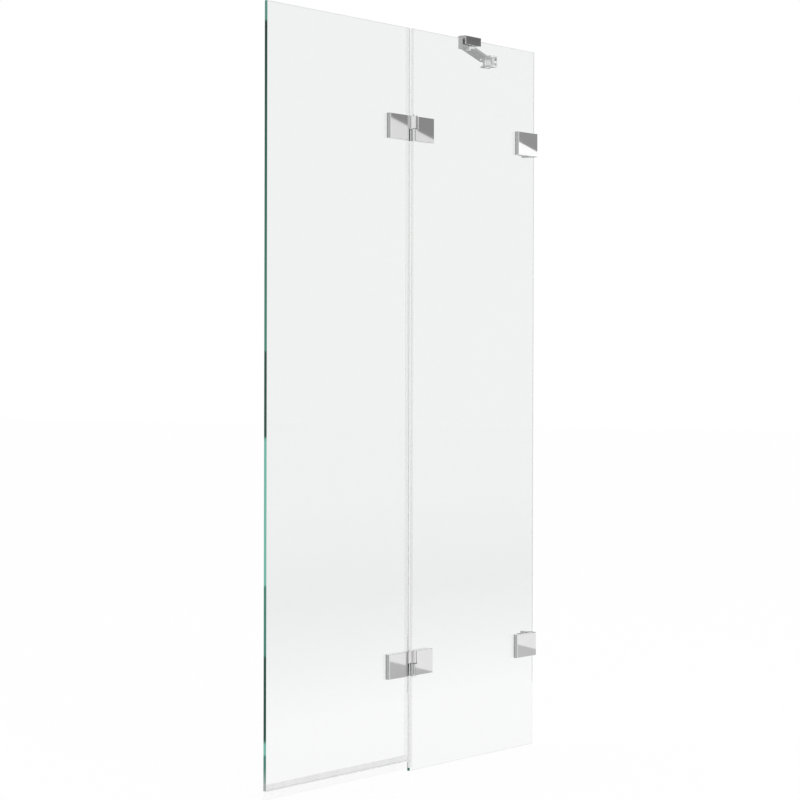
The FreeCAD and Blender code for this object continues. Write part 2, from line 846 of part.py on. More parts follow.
def strut_clamp_screw(label):
    """The grub screw that presses the liner against the glass from behind."""
    inner = glass_half + size.liner_thickness
    rear = inner + size.clamp_rear_leg
    radius = half(size.clamp_screw)
    body = turned(label, "XY_Plane", [(ZERO, inner), (radius, inner), (radius, rear), (ZERO, rear)],
                  clamp_left + half(size.clamp_post_width), ZERO, glass_top - size.clamp_screw_drop)
    socket = new_sketch(body, "XZ_Plane", -rear)
    hexagon(socket, ZERO, ZERO, size.screw_socket)
    pocket(socket, size.screw_socket_depth, reverse=True)
    return keep(body, label)


def strut_arm(label):
    """The flat arm, round at the clamp and tapered to an eye at the wall foot."""
    run_x = eye_x - pivot_x
    run_y = size.foot_offset - pivot_y
    reach = Length(f"hypot({run_x.text}; {run_y.text})", math.hypot(run_x.value, run_y.value))
    body = new_body(label, pivot_x, pivot_y, arm_bottom)
    body.setExpression("Placement.Rotation.Angle", f"atan2({run_y.text}; {run_x.text})")
    bar = new_sketch(body, "XY_Plane")
    outline(bar, [
        (ZERO, -arm_half),
        (reach - size.arm_taper, -arm_half),
        (reach, -size.eye_radius),
        (reach, size.eye_radius),
        (reach - size.arm_taper, arm_half),
        (ZERO, arm_half),
    ], round_end=True)
    pad(bar, size.arm_thickness)
    round_edges(body, size.arm_edge_radius, lambda edge: lies_at(edge, "Z", ZERO, size.arm_thickness)
                and edge.BoundBox.XMin < half(reach).value)
    eye_low = half(size.arm_thickness) - half(size.foot_opening)
    eye = new_sketch(body, "XY_Plane", eye_low)
    circle(eye, reach, ZERO, size.eye_radius)
    pad(eye, size.foot_opening)
    near_hole = new_sketch(body, "XY_Plane")
    circle(near_hole, ZERO, ZERO, pivot_radius + size.fit_gap)
    pocket(near_hole, size.arm_thickness, reverse=True)
    eye_hole = new_sketch(body, "XY_Plane", eye_low)
    circle(eye_hole, reach, ZERO, pivot_radius + size.fit_gap)
    pocket(eye_hole, size.foot_opening, reverse=True)
    return keep(body, label)


def strut_foot(label):
    """The wall foot: a web on the wall and two ears that hold the arm's eye between them."""
    middle = arm_bottom + half(size.arm_thickness)
    inner = half(size.foot_opening)
    outer = inner + size.foot_wall
    end = half(size.foot_width)
    body = new_body(label + "_blank", ZERO, size.foot_offset, middle)
    section = new_sketch(body, "XZ_Plane")
    outline(section, [
        (ZERO, -outer),
        (ZERO, outer),
        (-size.foot_reach, outer),
        (-size.foot_reach, inner),
        (-size.foot_wall, inner),
        (-size.foot_wall, -inner),
        (-size.foot_reach, -inner),
        (-size.foot_reach, -outer),
    ])
    pad(section, size.foot_width, midplane=True)
    round_edges(body, size.foot_corner_radius,
                lambda edge: lies_at(edge, "X", -size.foot_reach) and lies_at(edge, "Y", end, -end))
    hole = new_sketch(body, "XY_Plane", -outer)
    circle(hole, eye_x, ZERO, pivot_radius + size.fit_gap)
    pocket(hole, outer * 2, reverse=True)
    tools = []
    radius = half(size.foot_hole)
    mouth = half(size.foot_hole_sink)
    for number, side in enumerate(BOTH_SIDES, start=1):
        y = size.foot_offset + half(size.foot_hole_spacing) * side
        tools.append(hole_tool(f"{label}_drill_{number}", radius, size.foot_wall + size.overrun,
                               -size.foot_wall, y, middle, Y_AXIS, QUARTER_TURN))
        tools.append(sink_tool(f"{label}_sink_{number}", mouth, radius, mouth - radius,
                               -size.foot_wall, y, middle, Y_AXIS, QUARTER_TURN))
    return cut(label, body, tools)


def pivot_screw(label, x, y, low, high):
    """An upright pivot screw with a low round head under its lower end and a key socket in the head."""
    head_radius = half(size.pivot_head)
    head_face = low - size.pivot_head_height
    body = turned(label, "XZ_Plane", [
        (ZERO, head_face),
        (head_radius - size.plate_edge_radius, head_face),
        (head_radius, head_face + size.plate_edge_radius),
        (head_radius, low),
        (pivot_radius, low),
        (pivot_radius, high),
        (ZERO, high),
    ], x, y)
    socket = new_sketch(body, "XY_Plane", head_face)
    hexagon(socket, ZERO, ZERO, size.screw_socket)
    pocket(socket, size.screw_socket_depth, reverse=True)
    return keep(body, label)


def strut():
    foot_half = half(size.foot_opening) + size.foot_wall
    arm_middle = arm_bottom + half(size.arm_thickness)
    strut_clamp("strut_clamp")
    strut_clamp_liner("strut_clamp_liner")
    strut_clamp_screw("strut_clamp_screw")
    strut_arm("strut_arm")
    strut_foot("strut_foot")
    pivot_screw("strut_clamp_pivot", pivot_x, pivot_y, arm_bottom, lug_bottom + size.lug_thickness)
    pivot_screw("strut_foot_pivot", eye_x, size.foot_offset, arm_middle - foot_half, arm_middle + foot_half)


def check_and_write():
    """Stop on any failed object or bad shape, then write each piece to its own file."""
    doc.recompute()
    failed = [thing.Name for thing in doc.Objects if "Invalid" in thing.State or "Error" in thing.State]
    if failed:
        raise RuntimeError("failed objects: " + ", ".join(failed))
    for piece in PIECES:
        if piece.Shape.isNull() or not piece.Shape.isValid():
            raise RuntimeError(piece.Label + " has no valid shape")
    os.makedirs("parts", exist_ok=True)
    for piece in PIECES:
        piece.Shape.exportStep(f"parts/{piece.Label}.step")
        print(piece.Label, len(piece.Shape.Solids), round(piece.Shape.Volume))


glass_panel("fixed_glass", fixed_edge, -size.wall_gap, glass_bottom, glass_top,
            [fixed_screw_x, bracket_screw_x])
glass_panel("moving_glass", free_edge, moving_edge, moving_bottom, glass_top, [moving_screw_x])
for fitting, fitting_height in FITTING_HEIGHTS.items():
    hinge(fitting, fitting_height)
    wall_bracket(fitting, fitting_height)
seals()
strut()
check_and_write()
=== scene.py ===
import json
import math

import bmesh
import bpy
from mathutils import Matrix, Vector


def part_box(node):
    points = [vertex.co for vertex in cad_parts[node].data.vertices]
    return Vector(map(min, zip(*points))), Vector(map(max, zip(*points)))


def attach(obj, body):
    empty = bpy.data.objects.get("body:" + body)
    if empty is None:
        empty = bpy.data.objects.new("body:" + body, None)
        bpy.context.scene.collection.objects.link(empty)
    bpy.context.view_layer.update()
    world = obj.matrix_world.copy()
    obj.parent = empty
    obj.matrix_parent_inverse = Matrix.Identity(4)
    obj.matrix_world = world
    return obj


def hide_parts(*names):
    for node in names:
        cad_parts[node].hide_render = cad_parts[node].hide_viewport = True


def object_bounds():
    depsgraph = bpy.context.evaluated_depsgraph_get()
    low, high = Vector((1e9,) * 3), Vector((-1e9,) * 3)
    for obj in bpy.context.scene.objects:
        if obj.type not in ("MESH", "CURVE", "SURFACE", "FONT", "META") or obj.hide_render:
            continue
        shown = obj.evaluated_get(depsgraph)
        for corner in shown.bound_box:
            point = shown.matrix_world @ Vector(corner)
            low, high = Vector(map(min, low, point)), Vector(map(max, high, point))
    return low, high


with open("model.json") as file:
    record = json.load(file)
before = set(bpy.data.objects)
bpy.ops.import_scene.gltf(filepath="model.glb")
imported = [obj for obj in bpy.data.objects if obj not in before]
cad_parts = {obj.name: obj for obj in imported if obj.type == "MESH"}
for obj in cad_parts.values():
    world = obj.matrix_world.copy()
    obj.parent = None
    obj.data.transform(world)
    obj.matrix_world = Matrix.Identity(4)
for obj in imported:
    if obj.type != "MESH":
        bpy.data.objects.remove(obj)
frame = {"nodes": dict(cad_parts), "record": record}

CAD_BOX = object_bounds()
NODES = frame["nodes"]
SLOT_OF = {entry["node"]: entry["material_slot"] for entry in frame["record"]["subparts"]}
FIXED_BODY = "fixed_screen"
MOVING_BODY = "moving_panel"
HINGES = ("lower", "upper")
JOINT_SEALS = ("joint_seal_bottom", "joint_seal_middle", "joint_seal_top")

# Lengths in metres: points nearer than WELD are one, and faces nearer than TOUCH meet
WELD = 1e-6
TOUCH = 1e-5
X_INDEX = 0
Z_INDEX = 2
UPWARDS = Vector((0.0, 0.0, 1.0))
REARWARDS = Vector((0.0, 1.0, 0.0))


# Objects and meshes
def add_object(name, data):
    made = bpy.data.objects.new(name, data)
    bpy.context.scene.collection.objects.link(made)
    return made


def welded(node):
    """An editable copy of a CAD node's mesh, with the seams between its faces closed."""
    form = bmesh.new()
    form.from_mesh(NODES[node].data)
    bmesh.ops.remove_doubles(form, verts=form.verts, dist=WELD)
    return form


def split_faces(form, place, normal):
    """Divide the faces that a plane crosses."""
    everything = list(form.verts) + list(form.edges) + list(form.faces)
    bmesh.ops.bisect_plane(form, geom=everything, plane_co=place, plane_no=normal)


def into_mesh(form, name, materials):
    """A mesh of the edited form, with its materials in the order of their slots."""
    mesh = bpy.data.meshes.new(name)
    for material in materials:
        mesh.materials.append(material)
    form.to_mesh(mesh)
    form.free()
    return mesh


def put_in_place(mesh, node, body):
    """Hang a mesh that stands for a CAD node on its body."""
    piece = add_object(mesh.name, mesh)
    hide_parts(node)
    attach(piece, body)


# Camera: the photograph's viewpoint, for a square image
IMAGE_SIZE = 800
IMAGE_MIDDLE = (IMAGE_SIZE - 1) / 2
SENSOR_MM = 36.0
FOCAL_PIXELS = 2778.3
CAMERA_PLACE = Vector((-5.24284, -3.00756, 0.58955))
CAMERA_YAW = math.radians(57.412)
CAMERA_PITCH = math.radians(-0.586)
CAMERA_ROLL = math.radians(0.137)


def camera_axes():
    """Right, up and viewing directions of the camera."""
    view = Vector((
        math.sin(CAMERA_YAW) * math.cos(CAMERA_PITCH),
        math.cos(CAMERA_YAW) * math.cos(CAMERA_PITCH),
        math.sin(CAMERA_PITCH),
    ))
    level = Vector((math.cos(CAMERA_YAW), -math.sin(CAMERA_YAW), 0.0))
    upright = level.cross(view)
    right = level * math.cos(CAMERA_ROLL) + upright * math.sin(CAMERA_ROLL)
    return right, right.cross(view), view


def pixel_ray(pixel):
    """Direction from the camera through the middle of a pixel of the image."""
    right, up, view = camera_axes()
    across = (pixel[0] - IMAGE_MIDDLE) / FOCAL_PIXELS
    down = (pixel[1] - IMAGE_MIDDLE) / FOCAL_PIXELS
    return (view + right * across - up * down).normalized()


def make_camera():
    right, up, view = camera_axes()
    data = bpy.data.cameras.new("photo_camera")
    data.sensor_width = SENSOR_MM
    data.lens = FOCAL_PIXELS / IMAGE_SIZE * SENSOR_MM
    camera = add_object("photo_camera", data)
    turn = Matrix((right, up, -view)).transposed()
    camera.matrix_world = Matrix.Translation(CAMERA_PLACE) @ turn.to_4x4()
    bpy.context.scene.camera = camera


# Colours and shader nodes; most of a noise's values lie in its span
NOISE_SPAN = (0.3, 0.7)


def linear(level):
    """Linear value of an sRGB display level from 0 to 255."""
    share = level / 255
    return share / 12.92 if share <= 0.04045 else ((share + 0.055) / 1.055) ** 2.4


def colour(red, green, blue):
    return (linear(red), linear(green), linear(blue), 1.0)


def grey(value):
    return (value, value, value, 1.0)


def combine(tree, operation, first, second):
    """A value worked out from two others in a shader; each is a socket or a plain number."""
    made = tree.nodes.new("ShaderNodeMath")
    made.operation = operation
    for socket, value in zip(made.inputs, (first, second)):
        if isinstance(value, float):
            socket.default_value = value
        else:
            tree.links.new(value, socket)
    return made.outputs["Value"]


def show_mix(tree, factor, first, second, output):
    """Show the first shader where the factor is 0 and the second where it is 1."""
    mix = tree.nodes.new("ShaderNodeMixShader")
    tree.links.new(factor, mix.inputs["Fac"])
    tree.links.new(first, mix.inputs[1])
    tree.links.new(second, mix.inputs[2])
    tree.links.new(mix.outputs["Shader"], tree.nodes[output].inputs["Surface"])


def bare_material(name):
    """A node material without its usual shader, for the stage, and its nodes."""
    material = bpy.data.materials.new(name)
    material.use_nodes = True
    tree = material.node_tree
    tree.nodes.remove(tree.nodes["Principled BSDF"])
    return material, tree


class Finish:
    """A procedural material: a Principled shader and the nodes that vary it over the surface."""

    def __init__(self, name, **constants):
        self.material = bpy.data.materials.new(name)
        self.material.use_nodes = True
        self.tree = self.material.node_tree
        self.shader = self.tree.nodes["Principled BSDF"]
        for socket, value in constants.items():
            self.shader.inputs[socket.replace("_", " ")].default_value = value

    def node(self, kind, **settings):
        made = self.tree.nodes.new(kind)
        for key, value in settings.items():
            setattr(made, key, value)
        return made

    def link(self, source, target):
        self.tree.links.new(source, target)

    def place(self):
        """The point's place in the part's own frame, in metres."""
        return self.node("ShaderNodeTexCoord").outputs["Object"]

    def noise(self, scale, detail=2.0, stretch=(1.0, 1.0, 1.0)):
        mapping = self.node("ShaderNodeMapping")
        mapping.inputs["Scale"].default_value = stretch
        self.link(self.place(), mapping.inputs["Vector"])
        texture = self.node("ShaderNodeTexNoise")
        texture.inputs["Scale"].default_value = scale
        texture.inputs["Detail"].default_value = detail
        self.link(mapping.outputs["Vector"], texture.inputs["Vector"])
        return texture.outputs["Fac"]

    def height(self, low, high):
        """0 at the low height and 1 at the high one."""
        split = self.node("ShaderNodeSeparateXYZ")
        self.link(self.place(), split.inputs["Vector"])
        span = self.node("ShaderNodeMapRange")
        span.inputs["From Min"].default_value = low
        span.inputs["From Max"].default_value = high
        self.link(split.outputs["Z"], span.inputs["Value"])
        return span.outputs["Result"]

    def ramp(self, factor, stops):
        """A colour ramp with stops of (share, colour)."""
        made = self.node("ShaderNodeValToRGB")
        elements = made.color_ramp.elements
        while len(elements) < len(stops):
            elements.new(1.0)
        for element, (share, tone) in zip(elements, stops):
            element.position = share
            element.color = tone
        self.link(factor, made.inputs["Fac"])
        return made.outputs["Color"]

    def blend(self, factor, low, high, span=NOISE_SPAN):
        """A colour that runs from low to high over a span of the factor."""
        start, end = span
        return self.ramp(factor, ((start, low), (end, high)))

    def tint(self, base, factor, low, high):
        """The base colour multiplied by a grey that runs from low to high with the factor."""
        mix = self.node("ShaderNodeMix", data_type="RGBA", blend_type="MULTIPLY")
        mix.inputs["Factor"].default_value = 1.0
        self.link(base, mix.inputs["A"])
        self.link(self.blend(factor, grey(low), grey(high), span=(0.0, 1.0)), mix.inputs["B"])
        return mix.outputs["Result"]

    def vary_colour(self, source):
        self.link(source, self.shader.inputs["Base Color"])

    def vary_roughness(self, factor, low, high):
        span = self.node("ShaderNodeMapRange")
        span.inputs["To Min"].default_value = low
        span.inputs["To Max"].default_value = high
        self.link(factor, span.inputs["Value"])
        self.link(span.outputs["Result"], self.shader.inputs["Roughness"])

    def bump(self, factor, depth):
        made = self.node("ShaderNodeBump")
        made.inputs["Distance"].default_value = depth
        self.link(factor, made.inputs["Height"])
        self.link(made.outputs["Normal"], self.shader.inputs["Normal"])


# Glass: tones of its faces from the bottom up, as shares of the moving pane's height. The body tone is the
# pane's grey tint; the paler foot is painted light and the darker waist painted shade, reflections painted
# into the colour
GLASS_INDEX = 1.5
GLASS_BODY = (0.865, 0.883, 0.874, 1.0)
GLASS_PAINTED_SHADE_WAIST = (0.826, 0.846, 0.837, 1.0)
GLASS_PAINTED_LIGHT_FOOT = (0.948, 0.953, 0.951, 1.0)
GLASS_PAINTED_LIGHT_TONES = (
    (0.0, GLASS_PAINTED_LIGHT_FOOT),
    (0.075, GLASS_PAINTED_LIGHT_FOOT),
    (0.175, GLASS_BODY),
    (0.235, GLASS_PAINTED_SHADE_WAIST),
    (0.36, GLASS_BODY),
    (1.0, GLASS_BODY),
)

# Bands of the free edge, painted reflections: lighter and darker bands painted on the edge's own green where
# the studio would show in it. Where each starts, as a share of the height, and its lower and upper tone
END_GREY = colour(172, 178, 176)
PALE_GREEN = colour(150, 171, 166)
LIGHT_GREEN = colour(122, 191, 173)
MID_GREEN = colour(74, 136, 120)
DEEP_GREEN = colour(43, 82, 70)
DARK_GREEN = colour(34, 60, 52)
TOP_GREEN = colour(92, 145, 132)
EDGE_PAINTED_REFLECTION_BANDS = (
    (0.0, END_GREY, END_GREY),
    (0.0085, PALE_GREEN, MID_GREEN),
    (0.030, MID_GREEN, MID_GREEN),
    (0.0444, LIGHT_GREEN, LIGHT_GREEN),
    (0.0621, DEEP_GREEN, DEEP_GREEN),
    (0.1707, MID_GREEN, MID_GREEN),
    (0.2603, LIGHT_GREEN, LIGHT_GREEN),
    (0.4459, DEEP_GREEN, DEEP_GREEN),
    (0.5557, MID_GREEN, DARK_GREEN),
    (0.975, TOP_GREEN, TOP_GREEN),
)
BAND_SOFTNESS_SHARE = 0.0008
BARE_END_GREEN = colour(62, 118, 100)
RIM_LOW = (0.93, 0.95, 0.94, 1.0)
RIM_HIGH = (0.96, 0.97, 0.965, 1.0)
GROUND_LOW = colour(244, 249, 247)
GROUND_HIGH = colour(250, 252, 251)
EDGE_SPECULAR = 0.15
GROUND_SPECULAR = 0.2


def glass_height():
    low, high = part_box("moving_glass")
    return low.z, high.z


def glass_faces():
    finish = Finish("glass_face", Roughness=0.0, IOR=GLASS_INDEX, Transmission_Weight=1.0)
    # Painted light and shade: the face colour is paler at the foot and darker at the waist, by height
    tones = finish.ramp(finish.height(*glass_height()), GLASS_PAINTED_LIGHT_TONES)
    finish.vary_colour(finish.tint(tones, finish.noise(scale=1.6), low=0.992, high=1.0))
    return finish.material


def streaked_edge(name):
    """A finish for a bare glass edge, and the streaks that vary it."""
    finish = Finish(name, IOR=GLASS_INDEX, Specular_IOR_Level=EDGE_SPECULAR)
    streaks = finish.noise(scale=60.0, detail=3.0, stretch=(1.0, 8.0, 0.6))
    finish.vary_roughness(streaks, low=0.06, high=0.14)
    return finish, streaks


def polished_edge():
    finish, streaks = streaked_edge("glass_polished_edge")
    stops = []
    for index, (start, low_tone, high_tone) in enumerate(EDGE_PAINTED_REFLECTION_BANDS):
        is_last = index == len(EDGE_PAINTED_REFLECTION_BANDS) - 1
        end = 1.0 if is_last else EDGE_PAINTED_REFLECTION_BANDS[index + 1][0]
        stops.append((start + BAND_SOFTNESS_SHARE, low_tone))
        stops.append((end - BAND_SOFTNESS_SHARE, high_tone))
    # Painted reflections: the edge's green runs through lighter and darker bands by height
    painted_reflection_bands = finish.ramp(finish.height(*glass_height()), stops)
    finish.vary_colour(finish.tint(painted_reflection_bands, streaks, low=0.93, high=1.07))
    return finish.material


def bare_end():
    finish, streaks = streaked_edge("glass_bare_end")
    finish.vary_colour(finish.blend(streaks, BARE_END_GREEN, MID_GREEN))
    return finish.material


def clear_rim():
    finish = Finish("glass_clear_rim", IOR=GLASS_INDEX, Transmission_Weight=1.0)
    grain = finish.noise(scale=300.0, detail=3.0)
    finish.vary_colour(finish.blend(grain, RIM_LOW, RIM_HIGH))
    finish.vary_roughness(grain, low=0.02, high=0.06)
    return finish.material


def matt_arris():
    finish = Finish("glass_matt_arris", IOR=GLASS_INDEX, Specular_IOR_Level=GROUND_SPECULAR)
    grain = finish.noise(scale=900.0, detail=3.0)
    finish.vary_colour(finish.blend(grain, GROUND_LOW, GROUND_HIGH))
    finish.vary_roughness(grain, low=0.5, high=0.7)
    finish.bump(grain, depth=0.00003)
    return finish.material


# Parts of a face's normal that tell the faces, edges and arrises of a pane apart
FACE_NORMAL = 0.9
EDGE_NORMAL = 0.5
ARRIS_NORMAL = 0.3
FACE_SLOT, EDGE_SLOT, RIM_SLOT, GROUND_SLOT = range(4)
CAD_ARRIS = 0.0006
FINE_ARRIS = 0.0002


def glass_slot(face, is_ground):
    """The finish of a face of a pane; is_ground tells from a face which of its edges are ground matt."""
    if abs(face.normal.y) > FACE_NORMAL:
        return FACE_SLOT
    if is_ground(face):
        return GROUND_SLOT
    if face.normal.x < -EDGE_NORMAL:
        return EDGE_SLOT
    is_level_arris = abs(face.normal.y) > ARRIS_NORMAL and abs(face.normal.z) > ARRIS_NORMAL
    return GROUND_SLOT if is_level_arris else RIM_SLOT


def narrow_arris(form, low, high):
    """Bring the wide arris of the solid down to the fine one of polished glass."""
    for vert in form.verts:
        for axis in range(len(vert.co)):
            for limit, inward in ((low[axis], 1.0), (high[axis], -1.0)):
                if abs(vert.co[axis] - limit - inward * CAD_ARRIS) < TOUCH:
                    vert.co[axis] = limit + inward * FINE_ARRIS


def make_glass(node, name, body, materials, cuts, is_ground):
    """A pane with clear faces and rims, and a green edge; cuts are heights where a finish changes."""
    form = welded(node)
    narrow_arris(form, *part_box(node))
    for height in cuts:
        split_faces(form, UPWARDS * height, UPWARDS)
    form.normal_update()
    for face in form.faces:
        face.smooth = False
        face.material_index = glass_slot(face, is_ground)
    put_in_place(into_mesh(form, name, materials), node, body)


def make_panes():
    """The fixed pane's edge is ground at the joint seal, and the moving pane's between the hinge leaves."""
    faces, rim, ground = glass_faces(), clear_rim(), matt_arris()
    seal_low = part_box("joint_seal_bottom")[0].z
    hinges = []
    for name in HINGES:
        low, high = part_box(f"{name}_hinge_moving_leaf")
        hinges.append((low.z, high.z))

    def is_under_seal(face):
        return face.normal.x < -EDGE_NORMAL and face.calc_center_median().z > seal_low

    def is_in_hinge(face):
        height = face.calc_center_median().z
        return face.normal.x > EDGE_NORMAL and any(low < height < high for low, high in hinges)

    fixed_finishes = [faces, bare_end(), rim, ground]
    make_glass("fixed_glass", "fixed_pane", FIXED_BODY, fixed_finishes, [seal_low], is_under_seal)
    hinge_ends = [height for span in hinges for height in span]
    moving_finishes = [faces, polished_edge(), rim, ground]
    make_glass("moving_glass", "moving_pane", MOVING_BODY, moving_finishes, hinge_ends, is_in_hinge)


# Seals: stiff clear channels with soft lips, a hair clear of the glass that they grip
SEAL_INDEX = 1.10
SEAL_CLEARANCE = 0.0001
SEAL_EDGE = 0.00018
SEAL_EDGE_STEPS = 2
ROUND_PROFILE = 0.5
FLAT_ANGLE = math.radians(1.0)
STIFF_SLOT, SOFT_SLOT = range(2)
# Depth of the drip seal's stiff base under the glass
DRIP_BASE = 0.002


def seal_plastic(name, low, high):
    finish = Finish(name, IOR=SEAL_INDEX, Transmission_Weight=1.0)
    flow = finish.noise(scale=40.0, stretch=(1.0, 1.0, 0.1))
    finish.vary_colour(finish.blend(flow, grey(low), grey(high)))
    finish.vary_roughness(flow, low=0.06, high=0.14)
    return finish.material


def round_edges(form, edges):
    bmesh.ops.bevel(form, geom=edges, offset=SEAL_EDGE, segments=SEAL_EDGE_STEPS, profile=ROUND_PROFILE,
                    affect="EDGES", clamp_overlap=True)
    bmesh.ops.recalc_face_normals(form, faces=form.faces)


def make_seal(node, body, glass, gripped, is_soft, materials):
    """A seal with the CAD outline; gripped is the axis of the glass edge that its channel closes on."""
    low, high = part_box(glass)
    form = welded(node)
    for vert in form.verts:
        if abs(vert.co.y - low.y) < TOUCH:
            vert.co.y -= SEAL_CLEARANCE
        elif abs(vert.co.y - high.y) < TOUCH:
            vert.co.y += SEAL_CLEARANCE
        if abs(vert.co[gripped] - low[gripped]) < TOUCH:
            vert.co[gripped] -= SEAL_CLEARANCE
    bmesh.ops.dissolve_limit(form, angle_limit=FLAT_ANGLE, verts=form.verts, edges=form.edges)
    round_edges(form, [edge for edge in form.edges if edge.calc_face_angle(0.0) > FLAT_ANGLE])
    for face in form.faces:
        face.smooth = False
        face.material_index = SOFT_SLOT if is_soft(face.calc_center_median()) else STIFF_SLOT
    put_in_place(into_mesh(form, node + "_clear", materials), node, body)


def make_seals():
    channel = seal_plastic("seal_channel", low=0.905, high=0.935)
    lip = seal_plastic("seal_soft_lip", low=0.955, high=0.975)
    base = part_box("moving_glass")[0].z - DRIP_BASE

    def is_drip_lip(place):
        return place.z < base - TOUCH

    for node in JOINT_SEALS:
        make_seal(node, FIXED_BODY, "fixed_glass", X_INDEX, lambda place: False, [channel, lip])
    make_seal("drip_seal", MOVING_BODY, "moving_glass", Z_INDEX, is_drip_lip, [channel, lip])


# Metal, plastic and rubber
CHROME_BASE = 0.85
CHROME_CLOUD = 0.012


def chrome():
    finish = Finish("polished_chrome", Metallic=1.0)
    cloud = finish.noise(scale=35.0, detail=3.0)
    low, high = grey(CHROME_BASE - CHROME_CLOUD), grey(CHROME_BASE + CHROME_CLOUD)
    finish.vary_colour(finish.blend(cloud, low, high, span=(0.35, 0.65)))
    finish.vary_roughness(cloud, low=0.025, high=0.045)
    return finish.material


def steel():
    finish = Finish("satin_steel", Metallic=1.0)
    brushing = finish.noise(scale=700.0, detail=4.0, stretch=(1.0, 1.0, 0.05))
    finish.vary_colour(finish.blend(brushing, low=grey(0.52), high=grey(0.68)))
    finish.vary_roughness(brushing, low=0.22, high=0.38)
    return finish.material


def moulded(name, tones, roughness):
    """Plastic or rubber with a fine grain; tones and roughness are pairs of a low and a high value."""
    finish = Finish(name)
    grain = finish.noise(scale=1400.0, detail=3.0)
    low, high = tones
    finish.vary_colour(finish.blend(grain, grey(low), grey(high)))
    finish.vary_roughness(grain, *roughness)
    finish.bump(grain, depth=0.00004)
    return finish.material


# Depth at which the rim of a hinge gasket turns from white, in front, to black; the white is painted light
RIM_SPLIT = -0.0014
PAD_SLOT, NOSE_SLOT = range(2)


def make_gaskets(rubber):
    """The fixed leaves' gaskets: black pads with a white nose where they close round the glass edge; the
    nose's white is painted light.
    """
    nose = moulded("gasket_nose_painted_light", tones=(0.86, 0.92), roughness=(0.45, 0.60))
    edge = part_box("fixed_glass")[0].x
    for name in HINGES:
        node = f"{name}_hinge_fixed_gasket"
        form = welded(node)
        split_faces(form, REARWARDS * RIM_SPLIT, REARWARDS)
        form.normal_update()
        for face in form.faces:
            middle = face.calc_center_median()
            # The white nose in front is painted light on the black rubber
            is_nose = middle.x < edge - TOUCH and middle.y < RIM_SPLIT
            face.material_index = NOSE_SLOT if is_nose else PAD_SLOT
        mesh = into_mesh(form, node + "_with_painted_light_nose", [rubber, nose])
        put_in_place(mesh, node, FIXED_BODY)


# Soft fins on the joint seals, as offsets from the fixed pane's edge and the middle of the glass
FIN_PROFILE = ((-0.0011, -0.0040), (-0.0053, -0.0026), (-0.0011, 0.0006))


def make_fins():
    """The fins that lean from the joint seals into the gap, clear of the moving pane's swing; the shape is
    the seal's fin, and its opaque white is painted light, in place of light that passes through the clear
    seal.
    """
    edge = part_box("fixed_glass")[0].x
    # Opaque white: painted light standing in for light through the clear seal
    material = moulded("soft_fin_painted_light", tones=(0.90, 0.94), roughness=(0.45, 0.60))
    for node in JOINT_SEALS:
        form = bmesh.new()
        bottom, top = (
            [form.verts.new((edge + x, y, corner.z)) for x, y in FIN_PROFILE]
            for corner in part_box(node)
        )
        form.faces.new(bottom)
        form.faces.new(top)
        for index in range(len(FIN_PROFILE)):
            following = (index + 1) % len(FIN_PROFILE)
            form.faces.new((bottom[index], bottom[following], top[following], top[index]))
        round_edges(form, list(form.edges))
        mesh = into_mesh(form, node + "_fin", [material])
        piece = add_object(mesh.name, mesh)
        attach(piece, FIXED_BODY)


def dress_nodes():
    """Give the CAD nodes the finish of their slot; glass and clear seals have pieces of their own."""
    rubber = moulded("black_rubber", tones=(0.020, 0.034), roughness=(0.55, 0.75))
    make_gaskets(rubber)
    finishes = {
        "chrome": chrome(),
        "steel": steel(),
        "black_rubber": rubber,
        "black_plastic": moulded("black_plastic", tones=(0.030, 0.045), roughness=(0.40, 0.55)),
        "grey_plastic": moulded("grey_plastic", tones=(0.55, 0.63), roughness=(0.40, 0.55)),
    }
    for name, node in NODES.items():
        finish = finishes.get(SLOT_OF[name])
        if finish is None:
            continue
        for slot in node.material_slots:
            slot.material = finish


# Studio: white surroundings, a pale floor, one soft lamp
LIGHTING_WORLD = 0.8
SHOWN_WORLD = 1.0
FLOOR_HALF_WIDTH = 30.0
FLOOR_LIGHTING_COLOUR = 0.85
FLOOR_SHOWN_COLOUR = 0.06
FLOOR_GLOW = 0.945
LAMP_SIZE = 3.0
LAMP_POWER = 60.0
LAMP_PLACE = Vector((-3.2, -3.0, 3.6))


def seen_factor(tree):
    """1 for the rays that show a surface to the camera, straight or in glass and metal."""
    rays = tree.nodes.new("ShaderNodeLightPath").outputs
    straight_or_mirrored = combine(tree, "MAXIMUM", rays["Is Camera Ray"], rays["Is Glossy Ray"])
    return combine(tree, "MAXIMUM", straight_or_mirrored, rays["Is Transmission Ray"])


def make_world():
    world = bpy.data.worlds.new("white_studio")
    bpy.context.scene.world = world
    world.use_nodes = True
    tree = world.node_tree
    lit = tree.nodes["Background"]
    lit.inputs["Color"].default_value = grey(1.0)
    lit.inputs["Strength"].default_value = LIGHTING_WORLD
    shown = tree.nodes.new("ShaderNodeBackground")
    shown.inputs["Color"].default_value = grey(1.0)
    shown.inputs["Strength"].default_value = SHOWN_WORLD
    factor = seen_factor(tree)
    show_mix(tree, factor, lit.outputs["Background"], shown.outputs["Background"], "World Output")


